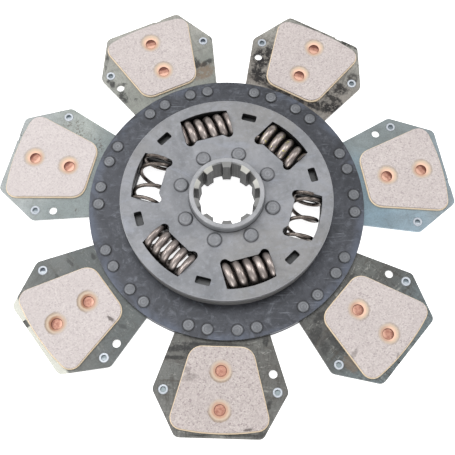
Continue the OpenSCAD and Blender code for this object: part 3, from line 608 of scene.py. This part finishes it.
# Per paddle: base colours near and far from the axis, soft patches, then broken stains. Patches and stains
# are x, y, half width, half height in millimetres on a paddle that points down, tilt, colour and strength.
LEAF = {
    1: (srgb(90, 89, 86), srgb(110, 110, 107), [
        (-35, -116, 9, 9, 0, srgb(108, 109, 107), 0.6),
    ], [
        (-29, -100.5, 10, 2.2, 3, BLACK, 0.9), (-31, -106.5, 8, 1.3, 0, BLACK, 0.9),
        (-20, -100, 6, 4, 30, BLACK, 0.8), (-5, -97.0, 22, 1.0, 0, BLACK, 0.85),
        (28.5, -94, 2.0, 3.0, 0, BLACK, 0.85), (31, -136, 1.6, 4.5, -25, BLACK, 0.7),
        (12, -154.6, 14, 1.0, 0, BLACK, 0.8), (26, -154.5, 5, 1.6, 20, BLACK, 0.7),
        (-12, -155.2, 8, 0.8, 0, BLACK, 0.6),
    ]),
    2: (srgb(82, 82, 80), srgb(104, 114, 117), [
        (27, -101, 10, 8, 0, srgb(104, 106, 103), 0.6),
    ], [
        (-31, -103, 7, 4, 20, BLACK, 0.7), (-34, -113, 5, 3, 40, BLACK, 0.6),
        (-27, -117, 2.5, 9, -10, BLACK, 0.6), (-31, -133, 4, 6, -20, BROWN, 0.6),
        (-20, -98, 6, 2.4, 0, BLACK, 0.8), (16, -97.2, 3, 1, 0, BLACK, 0.6),
    ]),
    3: (srgb(122, 143, 155), srgb(146, 158, 165), [
        (32, -118, 19, 36, 0, srgb(128, 135, 135), 0.9), (-34, -121, 14, 12, 0, srgb(142, 161, 173), 0.7),
    ], []),
    4: (srgb(134, 129, 123), srgb(156, 155, 149), [
        (0, -98.0, 36, 3.5, 0, srgb(84, 72, 62), 0.6),
    ], [
        (-28, -102, 11, 4.0, 10, SOOT, 1.0), (-30, -110, 10, 3.0, -12, SOOT, 0.9),
        (-31, -119, 5, 4.5, 10, SOOT, 0.9), (-36, -131, 4, 4, 30, SOOT, 0.7),
        (0, -97.0, 25, 1.8, 0, SOOT, 1.0), (26, -102, 9, 5, -15, SOOT, 1.0),
        (31, -114, 6, 9, 10, SOOT, 1.0), (28, -124, 4, 5, 0, SOOT, 0.9),
        (-20, -155.4, 9, 0.9, 0, BLACK, 0.9), (10, -155.8, 18, 0.5, 0, BLACK, 0.7),
    ]),
    5: (srgb(131, 133, 127), srgb(162, 161, 155), [
        (36, -122, 10, 12, 0, srgb(156, 157, 151), 0.6),
    ], [
        (-27, -103, 8, 6, 20, BROWN, 0.85), (-33, -109.5, 5, 2, 15, BLACK, 0.8),
        (-25, -112, 2.5, 5, -20, BLACK, 0.85), (35, -108, 3, 5, 15, BLACK, 0.85),
        (33, -117, 4, 2, 0, BLACK, 0.7), (38.5, -121, 2.2, 5, 10, BLACK, 0.85),
        (35, -140, 1.2, 7, -28, BLACK, 0.7), (27, -102, 1.2, 1.2, 0, BLACK, 0.6),
        (-44, -127, 1.6, 4, 0, BLACK, 0.6),
    ]),
    6: (srgb(122, 130, 130), srgb(156, 161, 161), [
        (-34, -118, 14, 16, 0, srgb(160, 165, 160), 0.7),
    ], [
        (-24, -96, 7, 0.5, 3, BLACK, 0.8), (-26, -109, 4.0, 5.0, -15, RUST, 0.9),
        (-26.5, -117, 4.0, 5.0, 20, RUST, 0.8), (-22, -99, 7.0, 3.0, 0, RUST, 0.8),
        (-34, -118, 3.0, 4.0, 0, RUST, 0.7), (-32, -127, 3.0, 4.0, 0, RUST, 0.6),
        (30, -99, 2.0, 2.0, 0, RUST, 0.7), (-15, -155.6, 3.5, 0.8, 0, BLACK, 0.8),
    ]),
    7: (srgb(84, 88, 88), srgb(103, 105, 103), [
        (-34, -117, 9, 9, 0, srgb(106, 108, 107), 0.6),
    ], [
        (-25, -94.5, 2.5, 1.6, 0, BLACK, 0.7), (-31, -109.5, 3.5, 1.2, 10, BLACK, 0.6),
        (-27, -122, 3, 1.4, -15, BLACK, 0.5), (27, -106, 3, 1.5, 30, BLACK, 0.5),
        (-12.5, -155.3, 2.6, 1.5, 0, BLACK, 0.9),
    ]),
}
# scale, stretch, threshold, colour and strength of each kind of streak
STREAKS = (
    (170.0, (1.0, 0.3, 1.0), 0.50, srgb(60, 57, 53), 0.6),
    (190.0, (0.25, 1.0, 1.0), 0.54, srgb(66, 60, 54), 0.6),
    (560.0, (1.0, 0.35, 1.0), 0.49, srgb(56, 54, 51), 0.5),
    (520.0, (0.4, 1.0, 1.0), 0.54, srgb(188, 188, 182), 0.3),
)
# how grimy each leaf is
GRIME = {1: 1.1, 2: 1.2, 3: 0.25, 4: 1.0, 5: 0.45, 6: 0.25, 7: 0.6}
# how stains break up: scale of the noise, from where to where in it, and what is left of them there
USUAL_BREAK = (620.0, 0.34, 0.52, 0.5)
BREAKS = {4: (240.0, 0.42, 0.49, 0.2), 5: (300.0, 0.42, 0.50, 0.25), 6: (620.0, 0.52, 0.60, 0.0)}
# paddle whose outer strip is cream, with a dark gap at the notch of its front leaf
CREAM_PADDLE = 7
NOTCH_X, NOTCH_HALF = -12.5 * MM, 2.5 * MM


def leaf_material(i):
    """Spring steel, patched, streaked and stained leaf by leaf after the photo."""
    near, far, patches, stains = LEAF[i]
    scale, low, high, left_over = BREAKS.get(i, USUAL_BREAK)
    m = Build(f"leaf_{i}")
    here = m.turned(paddle_dir(i))
    x, y, _ = m.split(here)
    fine = m.noise(1100.0, 5.0, 0.7)
    wide = m.noise(55.0, 4.0, 0.6, distort=0.8)
    col = m.mix(m.spread(y, -110 * MM, -150 * MM), near, far)
    for *spot, paint, share in patches:
        col = m.mix(m.math("MULTIPLY", m.blob(here, spot, 0.3, 90.0, 1.2), share), col, paint)
    col = m.mix(m.spread(wide, 0.35, 0.68, 0.0, 0.55), col, m.mix(0.5, col, srgb(84, 88, 86)))
    col = m.mix(m.spread(fine, 0.45, 0.75, 0.0, 0.35), col, srgb(70, 72, 70))
    # streaks along and across the strip, coarse and fine
    for grain, stretch, cut, paint, share in STREAKS:
        streak = m.noise(grain, 6.0, 0.72, m.vec("MULTIPLY", here, stretch), 0.6)
        col = m.mix(m.times(m.spread(streak, cut, cut + 0.16), share * GRIME[i]), col, paint)
    broken = m.spread(m.noise(scale, 6.0, 0.75), low, high, left_over)
    for *spot, paint, share in stains:
        col = m.mix(m.times(m.blob(here, spot, 1.2, 0.7 * scale, 0.6), broken, share), col, paint)
    if i == CREAM_PADDLE:
        col = m.mix(m.spread(y, -150 * MM, -152.2 * MM), col, CREAM)
        beside = m.math("ABSOLUTE", m.math("SUBTRACT", x, NOTCH_X))
        across = m.spread(beside, NOTCH_HALF + 0.5 * MM, NOTCH_HALF - 0.1 * MM)
        gap = m.math("MULTIPLY", across, m.spread(y, -153.8 * MM, -154.5 * MM))
        col = m.mix(m.math("MULTIPLY", gap, 0.85), col, BLACK)
    return m.finish(col, m.spread(fine, 0.3, 0.7, 0.38, 0.55), 0.55, m.bump(fine, 0.02 * MM, 0.5))


for i in PADDLES:
    leaf_mat = leaf_material(i)
    dress(nodes[f"front_leaf_{i}"], leaf_mat)
    dress(nodes[f"rear_leaf_{i}"], leaf_mat)

# Friction pads

# share of pale dust on each lining
DUST = {1: 0.0, 2: 0.16, 3: 0.16, 4: 0.12, 5: 0.2, 6: 0.4, 7: 0.32}
# linings whose recesses get stronger painted shade on their outer and upper side than the rest
DEEP_SHADE = {1: 0.55, 7: 1.0}
# greasy marks on front linings: x, y, half width, half height, tilt, strength, as on the leaves
MARKS = {
    1: [(-19.8, -119.2, 5.0, 2.5, 10, 0.35), (-22.7, -114.2, 3.0, 2.0, -20, 0.35),
        (18.3, -151.3, 3.2, 0.8, 10, 0.8)],
    2: [(-25.4, -130.4, 4.0, 1.6, 0, 0.4), (-7.9, -153.0, 2.6, 0.8, 30, 0.45)],
    7: [(18.9, -109.2, 2.8, 1.2, 20, 0.8)],
}


def lining_colour(m, i):
    """Colour of salt and pepper sinter under its share of dust, and the height of its grain."""
    grain = m.add("ShaderNodeTexVoronoi", {"Vector": m.where, "Scale": 1300.0})
    tone, hue, _ = m.split(grain.outputs["Color"])
    fine = m.noise(1200.0, 5.0, 0.75)
    wide = m.noise(42.0, 3.0, 0.5)
    col = m.mix(m.spread(tone, 0.0, 1.0, smooth=False), srgb(164, 154, 151), srgb(204, 196, 191))
    col = m.mix(m.spread(hue, 0.0, 1.0, 0.0, 0.35, smooth=False), col, srgb(190, 176, 178))
    col = m.mix(m.spread(wide, 0.3, 0.7, 0.0, 0.3), col, srgb(172, 162, 160))
    col = m.mix(m.spread(tone, 0.10, 0.03, 0.0, 0.4), col, srgb(124, 108, 114))
    col = m.mix(m.spread(fine, 0.50, 0.72, 0.0, 0.4), col, srgb(146, 134, 132))
    col = m.mix(m.spread(fine, 0.46, 0.28, 0.0, 0.35), col, srgb(208, 200, 195))
    col = m.mix(DUST[i], col, srgb(216, 209, 209))
    return col, m.math("ADD", fine, m.math("MULTIPLY", tone, 0.6))


def recess_colour(m, col, i, d, centre):
    """Colour of a countersink, with painted shade at the rim of its outer and upper side and painted light
    further in.
    """
    deep_shade = DEEP_SHADE.get(i, 0.0)
    lean = (0.75 * direction(paddle_dir(i)) + Vector((0, 0.5, 0))).normalized()
    edge = m.math("ADD", d, m.math("MULTIPLY_ADD", m.noise(500.0, 3.0, 0.6), 1.2 * MM, -0.6 * MM))
    side = m.math("DIVIDE", m.dot(m.vec("SUBTRACT", m.where, centre), lean), d)
    side = m.spread(side, -0.5, 0.6)
    share = m.math("MULTIPLY_ADD", side, 0.42 - DUST[i] / 3 + deep_shade / 3, 0.08)
    # painted shade at the rim, strongest on the outer and upper side
    rim = m.times(m.spread(edge, SINK_R + 1.4 * MM, SINK_R + 0.3 * MM), share)
    col = m.mix(rim, col, srgb(142, 122, 98))
    # the cone, a little paler on the outer and upper side as painted light
    cone = m.mix(side, srgb(195, 179, 164), srgb(204, 184, 163))
    col = m.mix(m.spread(edge, SINK_R + 0.4 * MM, SINK_R - 1.0 * MM), col, cone)
    # painted light in the throat on the outer and upper side, turned to painted shade on the linings that
    # get stronger painted shade
    throat = m.mix(side, srgb(196, 160, 139), m.mix(deep_shade, srgb(232, 193, 170), srgb(160, 116, 92)))
    col = m.mix(m.spread(edge, SINK_R - 1.0 * MM, PAD_HEAD_R + 0.8 * MM), col, throat)
    return m.mix(m.spread(d, PAD_HEAD_R + 0.3 * MM, PAD_HEAD_R + 0.1 * MM), col, srgb(112, 62, 48))


def pad_material(i, front):
    """Lining with two countersinks and greasy marks, on a backing cup with a pale ledge, its cream-gold
    painted paler to make up for the shade it lies in.
    """
    m = Build(f"pad_{'front' if front else 'rear'}_{i}")
    here = m.turned(paddle_dir(i))
    z = m.height()
    up = z if front else m.math("MULTIPLY", z, -1.0)
    col, height = lining_colour(m, i)
    marks = MARKS.get(i, []) if front else []
    for *spot, share in marks:
        col = m.mix(m.math("MULTIPLY", m.blob(here, spot, 1.2, 500.0, 0.8), share), col, srgb(78, 70, 66))
    cup = m.spread(up, CUP_TOP + 0.06 * MM, CUP_TOP)
    for reach in PAD_RIVET_REACHES:
        d = m.radius(m.vec("ADD", here, (0, reach, 0)))
        cup = m.math("MULTIPLY", cup, m.spread(d, SINK_R - 0.2 * MM, SINK_R + 0.2 * MM))
        col = recess_colour(m, col, i, d, reach * direction(paddle_dir(i)))
    # the cup's cream-gold, painted paler as painted light against the shade it lies in
    col = m.mix(cup, col, m.mix(m.noise(300.0), srgb(246, 230, 204), srgb(230, 206, 172)))
    return m.finish(col, 0.85, 0.0, m.bump(height, 0.12 * MM, 0.8, m.soft_edges(0.3 * MM)))


for i in PADDLES:
    dress(nodes[f"front_pad_{i}"], pad_material(i, True))
    dress(nodes[f"rear_pad_{i}"], pad_material(i, False))

# Springs

# sides of the wire and rings to a turn
WIRE_SIDES, TURN_RINGS = 14, 44


def open_turns(t, turns, closed, ramp):
    """Share of the open pitch that turn t has gained, with closed turns and a ramp at either end."""
    middle = turns - 2 * closed
    x = min(max(t - closed, 0), middle)
    if x < ramp:
        return x * x / (2 * ramp)
    if x < middle - ramp:
        return x - ramp / 2
    return middle - ramp - (middle - x) ** 2 / (2 * ramp)


def wire_ring(along, angle, lean, wire, mean):
    """Points round the wire, in millimetres, cut off at the ground ends."""
    points = []
    for s in range(WIRE_SIDES):
        b = 2 * math.pi * s / WIRE_SIDES
        out, side = wire / 2 * math.cos(b), wire / 2 * math.sin(b)
        x = along + side * math.cos(lean)
        y = (mean + out) * math.cos(angle) + side * math.sin(lean) * math.sin(angle)
        z = (mean + out) * math.sin(angle) - side * math.sin(lean) * math.cos(angle)
        points.append(Vector((min(max(x, -COIL_LEN / 2), COIL_LEN / 2), y - COIL_R, z + COIL_Z)))
    return points


def coil_piece(name, window, wire, run, base, closed, ramp, turns, start):
    """Round wire wound along the window, its two ends ground flat."""
    mean = (COIL_OD - wire) / 2
    pitch = (run - base * turns) / open_turns(turns, turns, closed, ramp)
    count = math.ceil(turns * TURN_RINGS)
    spin = Matrix.Rotation(math.radians(window + 90), 4, "Z")
    bm = bmesh.new()
    rings = []
    for k in range(count + 1):
        t = turns * k / count
        along = -run / 2 + base * t + pitch * open_turns(t, turns, closed, ramp)
        slope = base
        if 0 < k < count:
            step = 0.01
            gain = open_turns(t + step, turns, closed, ramp) - open_turns(t - step, turns, closed, ramp)
            slope += pitch * gain / (2 * step)
        lean = math.atan(slope / (2 * math.pi * mean))
        points = wire_ring(along, math.radians(start + 360 * t), lean, wire, mean)
        rings.append([bm.verts.new(spin @ (point * MM)) for point in points])
    for a, b in zip(rings, rings[1:]):
        for s in range(WIRE_SIDES):
            q = (s + 1) % WIRE_SIDES
            bm.faces.new((a[s], b[s], b[q], a[q]))
    bm.faces.new(rings[0])
    bm.faces.new(rings[-1][::-1])
    bmesh.ops.recalc_face_normals(bm, faces=bm.faces)
    mesh = bpy.data.meshes.new(name)
    bm.to_mesh(mesh)
    bm.free()
    for f in mesh.polygons:
        f.use_smooth = len(f.vertices) == 4
    obj = bpy.data.objects.new(name, mesh)
    scene.collection.objects.link(obj)
    return obj


def spring_material(name, dark, light, rough, spots=False):
    """Drawn wire with painted shade between the coils, and yellow specks on one spring."""
    m = Build(name)
    fine = m.noise(1400.0, 5.0, 0.7)
    wide = m.noise(160.0, 4.0, 0.6)
    col = m.mix(m.spread(wide, 0.3, 0.7), dark, light)
    col = m.mix(m.spread(fine, 0.55, 0.75, 0.0, 0.4), col, srgb(60, 50, 44))
    # painted shade between the coils
    col = m.mix(m.spread(m.hollow(4.5 * MM), 0.16, 0.74), srgb(18, 15, 14), col)
    if spots:
        col = m.mix(m.spread(m.noise(420.0, 3.0, 0.6), 0.60, 0.67, 0.0, 0.8), col, srgb(206, 198, 116))
    rough = m.spread(fine, 0.3, 0.7, rough, rough + 0.12)
    return m.finish(col, rough, 0.85, m.bump(fine, 0.02 * MM, 0.5))


STIFF_TONES = (srgb(142, 132, 128), srgb(182, 172, 167), 0.3)
LIGHT_TONES = (srgb(88, 80, 75), srgb(134, 125, 119), 0.24)
stiff_mat = spring_material("spring_stiff", *STIFF_TONES)
spotted_mat = spring_material("spring_spotted", *STIFF_TONES, True)
light_mat = spring_material("spring_light", *LIGHT_TONES)
# wire, run, advance in a turn of the closed ends, closed turns and ramp, as in the CAD
STIFF_WIRE, LIGHT_WIRE = 5.5, 2.6
STIFF = (STIFF_WIRE, COIL_LEN + STIFF_WIRE / 2, STIFF_WIRE * 1.02, 0.35, 0.4)
LIGHT = (LIGHT_WIRE, COIL_LEN - LIGHT_WIRE / 2, LIGHT_WIRE * 0.4, 0.6, 0.4)
# kind, turns, start angle and look of each spring
SPRINGS = {
    1: (STIFF, 4.9, 88, spotted_mat),
    2: (STIFF, 5.35, -5, stiff_mat),
    3: (LIGHT, 3.49, 43.5, light_mat),
    4: (STIFF, 4.9, -60, stiff_mat),
    5: (STIFF, 5.35, 146, stiff_mat),
    6: (LIGHT, 3.8, 180, light_mat),
}
for k, (kind, turns, start, spring_mat) in SPRINGS.items():
    window = FIRST_WINDOW + (k - 1) * WINDOW_STEP
    piece = coil_piece(f"spring_piece_{k}", window, *kind, turns, start)
    dress(piece, spring_mat)
    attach(piece, "springs")
    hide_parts(f"spring_{k}")
    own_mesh(piece)
